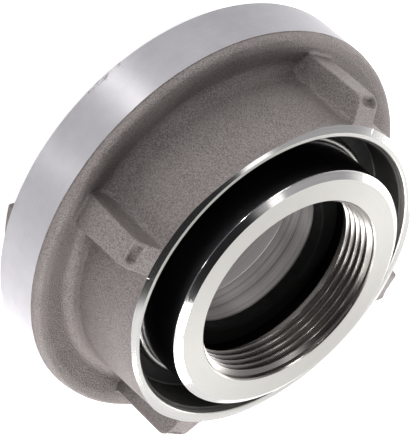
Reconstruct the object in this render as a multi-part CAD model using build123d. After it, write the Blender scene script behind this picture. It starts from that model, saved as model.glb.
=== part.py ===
from build123d import *
import math
import os

# Half of a quarter turn claw coupling for a 75 mm fire hose line, with a female G 2 pipe thread.
# It stands on the tips of its two claws, with the threaded end up and Z along the waterway.
# A cast claw ring turns freely on a turned stub. A wire ring in a groove of the stub keeps the
# claw ring on, and a slide ring of black plastic lines the inside of the ring's hub.
# All lengths are millimetres, and angles are degrees about Z.

# Claws and the entries for the claws of the other half
CLAW_GAP = 89.0             # clear distance between the inner faces of the two claws
CLAW_REACH = 12.0           # from the ring's face to the claw tips
CLAW_STEM = 5.0             # radial thickness of a claw below its hook
HOOK_OVERHANG = 4.5         # how far the hook stands out beyond the stem
HOOK_THICKNESS = 5.0
CLAW_START = 109.0          # angle at which the first claw begins
CLAW_SPAN = 52.0
CLAW_ROUND = 1.2            # rounding of the claw's corners
ENTRY_SPAN = 60.0           # opening beside each claw that lets the other half's claw in
CLAW_PLAY = 0.8             # room round the other half's claw
LIP_THIN = 5.6              # lip thickness where the other claw starts under it
LIP_THICK = 6.6             # and where it ends up, so that turning pulls the halves together
CHANNEL_HEIGHT = 6.9        # height of the channel behind the thin end of the lip

# Outside of the claw ring, from the channel outwards and from the ring's face upwards
CHANNEL_ROOM = 4.4          # from the hook's outer face to the channel's outer wall
RING_WALL = 4.6             # wall outside the channel
BACK_WALL = 4.0             # wall behind the channel
BACK_RISE = 1.7             # the back's outer edge stands above its dished part by this
BACK_LAND = 3.2             # width of that outer edge
BACK_CORNER = 1.6           # its rounding
CAST_STRIP = 2.8            # cast skin left between the machined rim and the back's edge
BAND_STEP = 0.25            # that cast skin stands this much below the machined rim
EDGE_BREAK = 0.5

# Hub
HUB_STEP = 1.9              # from the claws' inner faces out to the hub's bore
HUB_WALL = 3.9              # wall of the cast barrel at its foot
HUB_DEPTH = 14.5            # open depth of the hub behind the shoulder
BARREL_DRAFT = 0.5          # how much smaller the barrel is at its end
HUB_LAND = 1.3              # width of the flat end face
HUB_BEVEL = 0.7             # height of the turned bevel from there out to the barrel
HUB_CHAMFER = 0.25
FOOT_STEP = 1.3             # the barrel's foot flares out by this
FOOT_HEIGHT = 3.9
FOOT_ROOT = 2.0             # hollow rounding between the foot and the dished back

# Ribs for a spanner
RIB_COUNT = 4
RIB_START = 0.0
RIB_HEIGHT = 7.1
RIB_BASE = 10.9             # width at the barrel, where the rib leaves the dished back
RIB_TIP = 9.7               # width on top, there
RIB_TAPER = 1.6             # the rib is narrower by this at its free end
RIB_END_SLOPE = 20.0        # the rib's free end falls away from the barrel's end at this angle
RIB_NOSE = 3.7              # rounding of the rib's free end
RIB_EDGE = 0.7
RIB_ROOT = 1.5              # hollow rounding along the rib's foot
RIB_SINK = 2.0              # how far the rib is sunk into the barrel's wall and into the back
POCKET_LENGTH = 5.6         # small cast pocket across the nose of each rib
POCKET_WIDTH = 2.8
POCKET_DEPTH = 1.0
POCKET_TILT = 48.0          # the pocket faces this much away from the axis's radius

# Shoulder inside the hub, which the stub's collar pulls against
NECK_LENGTH = 4.5           # from the ring's back to the shoulder
SHOULDER_THICKNESS = 8.0
RUN_GAP = 0.35              # running gap between the stub and the claw ring

# Stub
STUB_PROUD = 6.5            # the threaded end stands this much above the hub's end face
COLLAR_DEPTH = 5.15         # how far the collar stands out from the stub's wall
COLLAR_CORNER = 0.8
END_CHAMFER = 2.1           # polished chamfer round the end face
END_CHAMFER_HEIGHT = 1.3
HEAD_SET_BACK = 0.4         # the stub's head stands this much behind the ring's face

# Female pipe thread G 2, left at its major diameter here
THREAD_R = 29.8
THREAD_LENGTH = 14.0
THREAD_MOUTH = 0.85         # chamfer at the thread's mouth
RELIEF_DEPTH = 0.7          # relief groove behind the thread
RELIEF_LENGTH = 7.3

# Waterway, from the thread down to the claws
SEAT_WIDTH = 5.6            # flat seat of the gasket
SEAT_LIP = 2.9              # turned lip below the gasket
BORE_STEP = 0.6             # the bore below the lip is wider by this
BORE_LENGTH = 8.0
MOUTH_STEP = 0.7            # small step before the waterway widens
MOUTH_STEP_LENGTH = 2.2
MOUTH_LENGTH = 6.1          # straight part of the wide mouth at the claws

# Gasket at the bottom of the thread
GASKET_OVER = 0.25          # the gasket reaches this far inside its seat
GASKET_THICKNESS = 4.0
GASKET_GAP = 0.1
GASKET_EDGE = 1.0

# Face seal in the stub's head
SEAL_WALL = 2.0             # wall of the head outside the seal
SEAL_WIDTH = 6.95
SEAL_INNER_WALL = 2.2       # wall of the head between the seal and the waterway
SEAL_DEPTH = 7.0
SEAL_PROUD = 1.1            # the seal stands this much before the stub's head
SEAL_LIP_OVER = 1.4         # how far the seal's lip reaches over the inner wall
SEAL_GAP = 0.1
SEAL_EDGE = 0.5
LOCK_DEPTH = 0.9            # undercut that holds the seal
LOCK_HEIGHT = 2.2

# Wire ring and slide ring
WIRE_D = 2.3
WIRE_CENTRE_OUT = 0.6       # centre of the wire, outside the stub's wall
WIRE_OPENING = 14.0         # angle of the gap in the wire ring
WIRE_OPENING_AT = 262.0
WIRE_PLAY = 0.3             # end play of the claw ring on the stub
SLIDE_GAP = 1.7             # from the stub's wall to the slide ring's base
SLIDE_BASE = 2.2
SLIDE_WALL = 1.0
SLIDE_SET_BACK = 1.7        # from the slide ring's top to the hub's end face
SLIDE_EDGE = 0.3

# Radii
CLAW_IN_R = CLAW_GAP / 2
STEM_R = CLAW_IN_R + CLAW_STEM
HOOK_R = STEM_R + HOOK_OVERHANG
LIP_IN_R = STEM_R + CLAW_PLAY
CHANNEL_R = HOOK_R + CHANNEL_ROOM
RING_R = CHANNEL_R + RING_WALL
CAST_R = RING_R - BAND_STEP
HUB_BORE_R = CLAW_IN_R + HUB_STEP
BARREL_R = HUB_BORE_R + HUB_WALL
BARREL_END_R = BARREL_R - BARREL_DRAFT
FOOT_R = BARREL_R + FOOT_STEP
HUB_LAND_R = HUB_BORE_R + HUB_LAND
RIB_R = BARREL_R + RIB_HEIGHT
HEAD_R = CLAW_IN_R - RUN_GAP
STUB_R = HEAD_R - COLLAR_DEPTH
RELIEF_R = THREAD_R + RELIEF_DEPTH
SEAT_R = RELIEF_R - SEAT_WIDTH
BORE_R = SEAT_R + BORE_STEP
SEAL_OUT_R = HEAD_R - SEAL_WALL
SEAL_IN_R = SEAL_OUT_R - SEAL_WIDTH
MOUTH_R = SEAL_IN_R - SEAL_INNER_WALL

# Heights above the claw tips
FACE = CLAW_REACH
LIP_BACK = FACE + LIP_THIN
CHANNEL_TOP = LIP_BACK + CHANNEL_HEIGHT
BACK = CHANNEL_TOP + BACK_WALL
BACK_EDGE = BACK + BACK_RISE
BAND_END = BACK_EDGE - CAST_STRIP
FOOT_TOP = BACK + FOOT_HEIGHT
SHOULDER = BACK + NECK_LENGTH
SHOULDER_TOP = SHOULDER + SHOULDER_THICKNESS
HUB_END = SHOULDER_TOP + HUB_DEPTH
BARREL_END = HUB_END - HUB_BEVEL
RIB_END = BARREL_END
STUB_END = HUB_END + STUB_PROUD
THREAD_BOTTOM = STUB_END - THREAD_LENGTH
SEAT = THREAD_BOTTOM - RELIEF_LENGTH
GASKET_TOP = SEAT + GASKET_THICKNESS
BORE_TOP = SEAT - SEAT_LIP
BORE_END = BORE_TOP - BORE_LENGTH
SLIDE_FLOOR = SHOULDER_TOP + SLIDE_BASE
SLIDE_TOP = HUB_END - SLIDE_SET_BACK
WIRE_Z = SLIDE_FLOOR + WIRE_PLAY + WIRE_D / 2
HEAD_FACE = FACE + HEAD_SET_BACK
SEAL_TOP = HEAD_FACE + SEAL_DEPTH
SEAL_FRONT = HEAD_FACE - SEAL_PROUD
LOCK_LOW = SEAL_TOP - LOCK_HEIGHT

# Angles of what lies beside each claw
LIP_SPAN = 180.0 - CLAW_SPAN - ENTRY_SPAN
ENTRY_START = CLAW_START + CLAW_SPAN
LIP_START = ENTRY_START + ENTRY_SPAN

NEAR = 0.01                 # how closely an edge has to match the size that picks it
OVERCUT = 1.0               # how far a cutting shape reaches past the surface that it opens


def turned(outline):
    """Turn a closed outline of (radius, height) points once round Z."""
    points = [(radius, 0, height) for radius, height in outline]
    return revolve(make_face(Polyline(*points, close=True).edges()), Axis.Z, 360)


def sector(inner, outer, low, high, start, span):
    """Part of a plain ring, from an angle on and over a span."""
    corners = [(inner, 0, low), (outer, 0, low), (outer, 0, high), (inner, 0, high)]
    face = make_face(Polyline(*corners, close=True).edges())
    return Rot(0, 0, start) * revolve(face, Axis.Z, span)


def circles(shape, radius, height):
    """Circular edges of a shape at one radius and one height."""
    return [
        edge for edge in shape.edges().filter_by(GeomType.CIRCLE)
        if abs(edge.radius - radius) < NEAR and abs(edge.center().Z - height) < NEAR
    ]


def ring_body():
    """Claw ring before its front is cut: rim, dished back, barrel, bevelled end and shoulder."""
    outline = [
        (STUB_R + RUN_GAP, SHOULDER),
        (CLAW_IN_R, SHOULDER),
        (CLAW_IN_R, FACE),
        (RING_R, FACE),
        (RING_R, BAND_END),
        (CAST_R, BAND_END + BAND_STEP),
        (CAST_R, BACK_EDGE),
        (CAST_R - BACK_LAND, BACK_EDGE),
        (FOOT_R, BACK),
        (BARREL_R, FOOT_TOP),
        (BARREL_END_R, BARREL_END),
        (HUB_LAND_R, HUB_END),
        (HUB_BORE_R + HUB_CHAMFER, HUB_END),
        (HUB_BORE_R, HUB_END - HUB_CHAMFER),
        (HUB_BORE_R, SHOULDER_TOP),
        (STUB_R + RUN_GAP, SHOULDER_TOP),
    ]
    body = turned(outline)
    body = chamfer(circles(body, RING_R, FACE), EDGE_BREAK)
    body = fillet(circles(body, CAST_R, BACK_EDGE), BACK_CORNER)
    return fillet(circles(body, FOOT_R, BACK), FOOT_ROOT)


def rib_section(narrower):
    """Section of a rib, narrower by some width, with hollow roundings at the barrel."""
    half_base, half_tip = (RIB_BASE - narrower) / 2, (RIB_TIP - narrower) / 2
    half_foot = half_base + RIB_ROOT
    sunk = BARREL_R - RIB_SINK
    wall = math.sqrt(BARREL_END_R ** 2 - (RIB_BASE / 2 + RIB_ROOT) ** 2)
    corners = [
        (sunk, -half_foot),
        (wall, -half_foot),
        (wall, -half_base),
        (RIB_R, -half_tip),
        (RIB_R, half_tip),
        (wall, half_base),
        (wall, half_foot),
        (sunk, half_foot),
    ]
    section = make_face(Polyline(*corners, close=True).edges())
    roots = [
        vertex for vertex in section.vertices()
        if abs(vertex.X - wall) < NEAR and abs(vertex.Y) < half_base + NEAR
    ]
    return fillet(roots, RIB_ROOT)


def rib():
    """One tapered spanner rib along the barrel, with a rounded nose and a cast pocket in it."""
    wide = Pos(0, 0, BACK - RIB_SINK) * rib_section(0)
    slim = Pos(0, 0, RIB_END) * rib_section(RIB_TAPER)
    bar = loft([wide, slim], ruled=True)
    sides = [
        edge for edge in bar.edges()
        if abs(edge.center().X - RIB_R) < NEAR and abs(edge.center().Y) > RIB_TIP / 4
    ]
    bar = fillet(sides, RIB_EDGE)
    slope = math.radians(RIB_END_SLOPE)
    tip = RIB_END - (RIB_R - BARREL_END_R) * math.tan(slope)
    corners = [(0, 0), (RIB_R, 0), (RIB_R, tip), (BARREL_END_R, RIB_END), (0, RIB_END)]
    shadow = make_face(Polyline(*corners, close=True).edges())
    shadow = fillet([vertex for vertex in shadow.vertices() if abs(vertex.Y - tip) < NEAR], RIB_NOSE)
    bar = bar & extrude(Plane.XZ * shadow, RIB_BASE + RIB_ROOT, both=True)
    tilt = math.radians(POCKET_TILT)
    out, along = math.cos(tilt), math.sin(tilt)
    nose_low = tip - RIB_NOSE * math.tan(math.pi / 4 - slope / 2)
    middle = (RIB_R - RIB_NOSE * (1 - out), 0, nose_low + RIB_NOSE * along)
    place = Plane(middle, x_dir=(-along, 0, out), z_dir=(out, 0, along))
    slot = place * SlotOverall(POCKET_LENGTH, POCKET_WIDTH, rotation=90)
    return bar - extrude(slot, POCKET_DEPTH, both=True)


def claw():
    """One claw: a curved stem on the ring's face and a hook that stands outwards."""
    middle = CLAW_START + CLAW_SPAN / 2
    stem = sector(CLAW_IN_R, STEM_R, 0, LIP_BACK, CLAW_START, CLAW_SPAN)
    hook = sector(CLAW_IN_R, HOOK_R, 0, HOOK_THICKNESS, CLAW_START, CLAW_SPAN)
    shape = Rot(0, 0, -middle) * (stem + hook)
    tip = circles(shape, HOOK_R, 0)
    ends = [
        edge for edge in shape.edges().filter_by(Axis.Z)
        if math.hypot(edge.center().X, edge.center().Y) > STEM_R - NEAR
    ]
    return Rot(0, 0, middle) * fillet(tip + ends, CLAW_ROUND)


def entry_cut():
    """Opening in the lip beside a claw, wide and deep enough for the other half's hook."""
    inner = CLAW_IN_R - OVERCUT
    gate_r = HOOK_R + CLAW_PLAY
    gate = sector(inner, gate_r, FACE - OVERCUT, CHANNEL_TOP, ENTRY_START, ENTRY_SPAN)
    return gate + sector(inner, CHANNEL_R, LIP_BACK, CHANNEL_TOP, ENTRY_START, ENTRY_SPAN)


def lip_cut():
    """Slot for the other half's stem and the undercut for its hook, with an inclined lip back."""
    inner = CLAW_IN_R - OVERCUT
    slot = sector(inner, LIP_IN_R, FACE - OVERCUT, CHANNEL_TOP, LIP_START, LIP_SPAN)
    chord = 2 * HOOK_R * math.sin(math.radians(LIP_SPAN / 2))
    slope = math.degrees(math.atan((LIP_THICK - LIP_THIN) / chord))
    undercut = sector(inner, CHANNEL_R, FACE, CHANNEL_TOP, -LIP_SPAN / 2, LIP_SPAN)
    lip_back = Plane((0, 0, FACE + (LIP_THIN + LIP_THICK) / 2)).rotated((slope, 0, 0))
    undercut = split(undercut, bisect_by=lip_back, keep=Keep.TOP)
    return slot + Rot(0, 0, LIP_START + LIP_SPAN / 2) * undercut


def coupling_ring():
    """Claw ring: one casting with its ribs, and its front opened for the other half's claws."""
    body = ring_body()
    for number in range(RIB_COUNT):
        body += Rot(0, 0, RIB_START + number * 360 / RIB_COUNT) * rib()
    for half_turn in (0, 180):
        body -= Rot(0, 0, half_turn) * entry_cut()
        body -= Rot(0, 0, half_turn) * lip_cut()
        body += Rot(0, 0, half_turn) * claw()
    return body


def wire_section():
    """Round section of the wire ring, where it sits in the stub's wall."""
    centre = (STUB_R + WIRE_CENTRE_OUT, 0, WIRE_Z)
    return Plane(centre, x_dir=(1, 0, 0), z_dir=(0, -1, 0)) * Circle(WIRE_D / 2)


def threaded_stub():
    """Turned stub: end face, thread bore, gasket seat, waterway, seal groove, head and collar."""
    outline = [
        (STUB_R - END_CHAMFER, STUB_END),
        (THREAD_R + THREAD_MOUTH, STUB_END),
        (THREAD_R, STUB_END - THREAD_MOUTH),
        (THREAD_R, THREAD_BOTTOM),
        (RELIEF_R, THREAD_BOTTOM),
        (RELIEF_R, SEAT),
        (SEAT_R, SEAT),
        (SEAT_R, BORE_TOP),
        (BORE_R, BORE_TOP),
        (BORE_R, BORE_END),
        (BORE_R + MOUTH_STEP, BORE_END),
        (BORE_R + MOUTH_STEP, BORE_END - MOUTH_STEP_LENGTH),
        (MOUTH_R, HEAD_FACE + MOUTH_LENGTH),
        (MOUTH_R, HEAD_FACE),
        (SEAL_IN_R, HEAD_FACE),
        (SEAL_IN_R, SEAL_TOP),
        (SEAL_OUT_R + LOCK_DEPTH, SEAL_TOP),
        (SEAL_OUT_R + LOCK_DEPTH, LOCK_LOW),
        (SEAL_OUT_R, LOCK_LOW),
        (SEAL_OUT_R, HEAD_FACE),
        (HEAD_R, HEAD_FACE),
        (HEAD_R, SHOULDER - RUN_GAP),
        (STUB_R, SHOULDER - RUN_GAP),
        (STUB_R, STUB_END - END_CHAMFER_HEIGHT),
    ]
    stub = turned(outline)
    corners = circles(stub, HEAD_R, HEAD_FACE) + circles(stub, HEAD_R, SHOULDER - RUN_GAP)
    return chamfer(corners, COLLAR_CORNER) - revolve(wire_section(), Axis.Z, 360)


def snap_ring():
    """Spring wire ring, open over a short gap."""
    start = WIRE_OPENING_AT + WIRE_OPENING / 2
    return Rot(0, 0, start) * revolve(wire_section(), Axis.Z, 360 - WIRE_OPENING)


def slide_ring():
    """Plastic ring on the shoulder, with a thin wall that lines the hub."""
    base_r = STUB_R + SLIDE_GAP
    wall_r = HUB_BORE_R - SLIDE_WALL
    outline = [
        (base_r, SHOULDER_TOP),
        (HUB_BORE_R, SHOULDER_TOP),
        (HUB_BORE_R, SLIDE_TOP),
        (wall_r, SLIDE_TOP),
        (wall_r, SLIDE_FLOOR),
        (base_r, SLIDE_FLOOR),
    ]
    ring = turned(outline)
    return chamfer(circles(ring, wall_r, SLIDE_TOP), SLIDE_EDGE)


def thread_gasket():
    """Flat rubber gasket at the bottom of the thread, with its inner top edge broken."""
    inner = SEAT_R - GASKET_OVER
    outline = [
        (inner, SEAT),
        (RELIEF_R - GASKET_GAP, SEAT),
        (RELIEF_R - GASKET_GAP, GASKET_TOP),
        (inner + GASKET_EDGE, GASKET_TOP),
        (inner, GASKET_TOP - GASKET_EDGE),
    ]
    return turned(outline)


def face_seal():
    """Rubber seal in the head: a foot locked under the groove's undercut and a lip in front."""
    inner = SEAL_IN_R + SEAL_GAP
    outer = SEAL_OUT_R - SEAL_GAP
    lip_r = SEAL_IN_R - SEAL_LIP_OVER
    outline = [
        (inner, SEAL_TOP),
        (outer + LOCK_DEPTH, SEAL_TOP),
        (outer + LOCK_DEPTH, LOCK_LOW + SEAL_GAP),
        (outer, LOCK_LOW + SEAL_GAP),
        (outer, SEAL_FRONT + SEAL_EDGE),
        (outer - SEAL_EDGE, SEAL_FRONT),
        (lip_r + SEAL_EDGE, SEAL_FRONT),
        (lip_r, SEAL_FRONT + SEAL_EDGE),
        (lip_r, HEAD_FACE - SEAL_GAP),
        (inner, HEAD_FACE - SEAL_GAP),
    ]
    return turned(outline)


PIECES = {
    "coupling_ring": coupling_ring,
    "threaded_stub": threaded_stub,
    "face_seal": face_seal,
    "thread_gasket": thread_gasket,
    "snap_ring": snap_ring,
    "slide_ring": slide_ring,
}

os.makedirs("parts", exist_ok=True)
for name, make in PIECES.items():
    export_step(make(), f"parts/{name}.step")
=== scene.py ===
# %% [markdown]
# A quarter turn fire hose coupling, dressed for its portrait.
# A cast aluminium ring with two claws turns freely on a turned aluminium stub, and the stub has a
# female pipe thread. The measured solids are loaded first, as a fixed frame. Each visible piece is
# then made again as a fine mesh in the same place, with its small roundings, its thread and its
# finish. Lengths are written in millimetres, because that is how such a part is drawn, and one
# value turns them into Blender's metres. Only the studio's lamps and floor are given in metres.

# %% Load the measured part
import math
import bmesh
import bpy
import numpy as np
from mathutils import Matrix, Vector, noise


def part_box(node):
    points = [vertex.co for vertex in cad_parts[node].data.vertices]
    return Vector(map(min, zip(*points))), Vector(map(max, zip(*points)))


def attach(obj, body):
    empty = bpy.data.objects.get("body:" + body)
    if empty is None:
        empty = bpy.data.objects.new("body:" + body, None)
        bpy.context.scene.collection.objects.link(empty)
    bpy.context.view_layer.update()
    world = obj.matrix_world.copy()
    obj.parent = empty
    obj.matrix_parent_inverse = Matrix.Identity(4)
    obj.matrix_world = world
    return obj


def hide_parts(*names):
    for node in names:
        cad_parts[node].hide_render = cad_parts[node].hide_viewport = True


MM = 0.001
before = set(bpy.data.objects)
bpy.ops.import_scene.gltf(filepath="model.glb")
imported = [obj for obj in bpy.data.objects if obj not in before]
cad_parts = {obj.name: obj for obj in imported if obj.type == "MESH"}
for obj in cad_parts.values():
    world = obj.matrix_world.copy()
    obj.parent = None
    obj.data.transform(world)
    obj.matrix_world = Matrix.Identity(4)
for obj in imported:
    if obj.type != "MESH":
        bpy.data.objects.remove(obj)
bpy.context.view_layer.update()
print("nodes in the frame:", sorted(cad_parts))

# %% [markdown]
# The frame gives a box for each node, and most heights and outer radii can be read from those
# boxes, so they follow the solids if these change. A round solid arrives as small flat faces, so
# a box can be a few hundredths of a millimetre short. Rounding to a twentieth puts that right.
# What a box can't tell, such as a bore or a wall, is a named value just before its first use.


# %% Sizes read from the frame
def span(node):
    """Outer radius, lowest and highest height of a round node, in millimetres."""
    low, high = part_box(node)
    reach = max(-low.x, high.x, -low.y, high.y)
    return [round(value / MM / 0.05) * 0.05 for value in (reach, low.z, high.z)]


RING_R, TIPS, HUB_END = span("coupling_ring")
HEAD_R, HEAD_FACE, STUB_END = span("threaded_stub")
GASKET_R, SEAT, GASKET_TOP = span("thread_gasket")
SEAL_R, SEAL_FRONT, SEAL_TOP = span("face_seal")
HUB_BORE_R, SHOULDER_TOP, SLIDE_TOP = span("slide_ring")
WIRE_R, WIRE_LOW, WIRE_HIGH = span("snap_ring")
FACE = 12.0                 # height of the ring's face above the claw tips
print("rim radius", RING_R, "hub end", HUB_END, "stub end", STUB_END)

# %% [markdown]
# Every material and every Geometry Nodes tree below is made of nodes. Writing each node out takes
# three or four lines, so one small function adds a node, sets it up and links it. It knows nothing
# of any kind of node, which keeps it short and makes it fit for both sorts of tree. A second
# function turns a colour, written as on a screen, into the linear numbers that shaders work with.

# %% One function that adds a node
# A Mix node has several sockets of the same name, so its colour sockets go by their numbers.
FACTOR, COLOUR_A, COLOUR_B, MIXED = 0, 6, 7, 2


def add(tree, kind, values=None, links=None, **settings):
    """Add a node. values fill its sockets, links feed them, and settings are its properties."""
    item = tree.nodes.new(kind)
    for name, value in settings.items():
        setattr(item, name, value)
    for name, value in (values or {}).items():
        item.inputs[name].default_value = value
    for name, socket in (links or {}).items():
        tree.links.new(socket, item.inputs[name])
    return item


# %% One function for colours
def linear(colour):
    """Linear RGBA of a colour written as sRGB hex, such as c8c6c4."""
    parts = [int(colour[i:i + 2], 16) / 255 for i in (0, 2, 4)]
    return [c / 12.92 if c <= 0.04045 else ((c + 0.055) / 1.055) ** 2.4 for c in parts] + [1.0]


print("the grey 808080 is", round(linear("808080")[0], 3), "in linear light")

# %% [markdown]
# The camera stands where the photograph's did. A few numbers say it all: how far round the part,
# how high above its rim, how far away, where the part's axis points in the picture, and how far
# the rim's middle lies from the picture's centre. The long lens keeps the circles nearly parallel.
# The camera is rolled a long way, because the part lies on its side in the photograph and stands
# on its claws here. A Track To constraint would keep it upright, so its three directions are
# worked out instead.

# %% Camera
CAMERA_AROUND = math.radians(68.0)      # from +X towards +Y
CAMERA_UP = math.radians(35.64)
AXIS_POINTS = math.radians(-42.82)      # direction of +Z in the picture, from its right
CAMERA_AWAY = 711.9                     # from the rim's middle, along the view
RIM_LEFT, RIM_ABOVE = 6.535, 7.218      # the rim's middle from the picture's centre
LENS = 204.56                           # for a sensor 36 mm high

back = Vector((
    math.cos(CAMERA_AROUND) * math.cos(CAMERA_UP),
    math.sin(CAMERA_AROUND) * math.cos(CAMERA_UP),
    math.sin(CAMERA_UP),
))
level = Vector((0, 0, 1)).cross(back).normalized()
upright = back.cross(level)
right = math.sin(AXIS_POINTS) * level + math.cos(AXIS_POINTS) * upright
up = -math.cos(AXIS_POINTS) * level + math.sin(AXIS_POINTS) * upright
place = Vector((0, 0, FACE)) + RIM_LEFT * right - RIM_ABOVE * up + CAMERA_AWAY * back

camera = bpy.data.objects.new("camera", bpy.data.cameras.new("camera"))
camera.data.lens = LENS
camera.data.sensor_width = 36
turned_to_part = Matrix((right, up, back)).transposed().to_4x4()
camera.matrix_world = Matrix.Translation(place * MM) @ turned_to_part
bpy.context.scene.collection.objects.link(camera)
bpy.context.scene.camera = camera
bpy.context.scene.view_settings.view_transform = "Standard"
print("camera at", [round(value) for value in place], "mm")

# %% [markdown]
# Bare metal has hardly a colour of its own. What the eye reads as aluminium is its surroundings,
# so these are made with care: a white sweep behind the part, a dim room on the camera's side, a
# dark ceiling that polished slopes show as black, and a paler patch beside it, in which the black
# ends softly. A picture of a studio could do this too, but a few nodes that mix plain colours by
# direction can be moved and dimmed one by one.

# %% World
SWEEP_WHITE = "ffffff"
ROOM_GREY = "4b4a4d"
ROOM_AROUND = 55.0              # azimuth of the dim side's middle, in degrees
ROOM_FADE = (-0.15, 0.3)        # cosines at which the room begins and is at its dimmest
CEILING_DARK = "262628"
CEILING_AROUND, CEILING_UP = 187.0, 80.5        # direction of the dark ceiling's middle
CEILING_REACH, CEILING_SOFT = 24.5, 2.0         # half the angle that it takes, and its soft edge
WING_GREY = "b0b0b2"
WING_AROUND, WING_UP = 300.0, 60.0
WING_REACH, WING_SOFT = 29.0, 5.0
world = bpy.data.worlds.new("studio")
bpy.context.scene.world = world
world.use_nodes = True
tree = world.node_tree
tree.nodes.clear()
direction = add(tree, "ShaderNodeTexCoord").outputs["Generated"]


def pointing(around, above):
    """Unit vector with an azimuth and an elevation in degrees."""
    around, above = math.radians(around), math.radians(above)
    return (math.cos(around) * math.cos(above), math.sin(around) * math.cos(above), math.sin(above))


towards = add(tree, "ShaderNodeVectorMath", {1: pointing(ROOM_AROUND, 0)}, {0: direction},
              operation="DOT_PRODUCT").outputs["Value"]
side = add(tree, "ShaderNodeMapRange", {"From Min": ROOM_FADE[0], "From Max": ROOM_FADE[1]},
           {"Value": towards}, interpolation_type="SMOOTHSTEP").outputs["Result"]
colour = add(tree, "ShaderNodeMix", {COLOUR_A: linear(SWEEP_WHITE), COLOUR_B: linear(ROOM_GREY)},
             {FACTOR: side}, data_type="RGBA").outputs[MIXED]


def hang_patch(colour, shade, middle, reach, softness):
    """Mix a round patch into the world's colour, reach degrees from its middle to its edge."""
    near = add(tree, "ShaderNodeVectorMath", {1: middle}, {0: direction},
               operation="DOT_PRODUCT").outputs["Value"]
    edges = [math.cos(math.radians(reach + step)) for step in (softness, -softness)]
    inside = add(tree, "ShaderNodeMapRange", {"From Min": edges[0], "From Max": edges[1]},
                 {"Value": near}, interpolation_type="SMOOTHSTEP").outputs["Result"]
    return add(tree, "ShaderNodeMix", {COLOUR_B: linear(shade)},
               {FACTOR: inside, COLOUR_A: colour}, data_type="RGBA").outputs[MIXED]


colour = hang_patch(colour, WING_GREY, pointing(WING_AROUND, WING_UP), WING_REACH, WING_SOFT)
colour = hang_patch(colour, CEILING_DARK, pointing(CEILING_AROUND, CEILING_UP), CEILING_REACH,
                    CEILING_SOFT)
shine = add(tree, "ShaderNodeBackground", {"Strength": 1.0}, {"Color": colour})
add(tree, "ShaderNodeOutputWorld", links={"Surface": shine.outputs[0]})
print("nodes in the world:", len(tree.nodes))

# %% [markdown]
# The lamps add what the plain surroundings can't. Two tall narrow strips draw the bright streaks
# down the rim. Two wide boxes light the cast skin from its sides, and their difference shows the
# ribs' shapes. A long weak one above brings out the bevel, and two high ones reach the dished
# back behind the ribs. All face the part, and all are weak, so that no pale metal bleaches.

# %% Lamps
AIM_HEIGHT = 0.03               # the lamps face this point on the part's axis


def soft_box(name, around, height, away, size, watts):
    """Area lamp that faces the part. around is in degrees from +X, lengths in metres."""
    lamp = bpy.data.lights.new(name, "AREA")
    lamp.shape = "RECTANGLE"
    lamp.size, lamp.size_y = size
    lamp.energy = watts
    box = bpy.data.objects.new(name, lamp)
    angle = math.radians(around)
    box.location = (away * math.cos(angle), away * math.sin(angle), height)
    aim = Vector((0, 0, AIM_HEIGHT)) - box.location
    box.rotation_euler = aim.to_track_quat("-Z", "Y").to_euler()
    bpy.context.scene.collection.objects.link(box)
    print(name, watts, "W")


soft_box("strip_left", 96.0, 0.2, 0.9, (0.08, 0.4), 0.7)
soft_box("strip_right", 52.5, 0.2, 0.9, (0.05, 0.4), 2.1)
soft_box("side_left", 196.0, 0.62, 0.95, (0.45, 0.4), 6.5)
soft_box("side_right", 278.0, 0.32, 1.0, (0.5, 0.4), 3.0)
soft_box("overhead", 315.0, 0.95, 0.34, (0.5, 0.12), 0.25)
soft_box("high_left", 170.0, 0.95, 0.75, (0.2, 0.3), 2.6)
soft_box("high_right", 5.0, 0.95, 0.75, (0.25, 0.25), 1.8)

# %% [markdown]
# The floor is a white paper disc at the height of the claw tips. It is matt and lit like anything
# else, so it keeps the part's shadow. The weak lamps would leave it grey, and stronger ones would
# bleach the part, so the paper also glows: for the camera, and for rays that metal or glass has
# turned. Light Path tells these rays apart, so that matt surfaces get nothing from the glow.

# %% Floor
FLOOR_R = 4.0
GLOW_SEEN = 0.78                # for the camera's own rays
GLOW_MIRRORED = 0.43            # for rays that come by way of metal or glass
floor_mesh = bpy.data.meshes.new("floor")
rounds = bmesh.new()
bmesh.ops.create_circle(rounds, cap_ends=True, segments=96, radius=FLOOR_R)
rounds.to_mesh(floor_mesh)
rounds.free()
floor = bpy.data.objects.new("floor", floor_mesh)
bpy.context.scene.collection.objects.link(floor)
paper = bpy.data.materials.new("white_paper")
paper.use_nodes = True
tree = paper.node_tree
tree.nodes.clear()
matt = add(tree, "ShaderNodeBsdfDiffuse", {"Color": linear("ffffff")})
ray = add(tree, "ShaderNodeLightPath").outputs
mirrored = add(tree, "ShaderNodeMath", None, {0: ray["Is Glossy Ray"],
                                              1: ray["Is Transmission Ray"]},
               operation="MAXIMUM").outputs[0]
mirrored = add(tree, "ShaderNodeMath", {1: GLOW_MIRRORED}, {0: mirrored},
               operation="MULTIPLY").outputs[0]
strength = add(tree, "ShaderNodeMath", {1: GLOW_SEEN}, {0: ray["Is Camera Ray"], 2: mirrored},
               operation="MULTIPLY_ADD").outputs[0]
glow = add(tree, "ShaderNodeEmission", {"Color": linear("ffffff")}, {"Strength": strength})
both = add(tree, "ShaderNodeAddShader", None, {0: matt.outputs[0], 1: glow.outputs[0]})
add(tree, "ShaderNodeOutputMaterial", links={"Surface": both.outputs[0]})
floor_mesh.materials.append(paper)
print("floor", 2 * FLOOR_R, "m across")

# %% [markdown]
# Finishes come next. Each material is one Principled shader, and patterns give it its colour,
# roughness and bumps. The patterns read Object coordinates, so they lie in real millimetres and
# stay on the piece when it turns. Noise stands for all that grew or wore by chance. Most of its
# values lie near the middle, so each use stretches that middle over the range that it needs.

# %% What all finishes share
MIDDLE = {"From Min": 0.3, "From Max": 0.7}     # where nearly all of a noise's values lie


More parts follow.
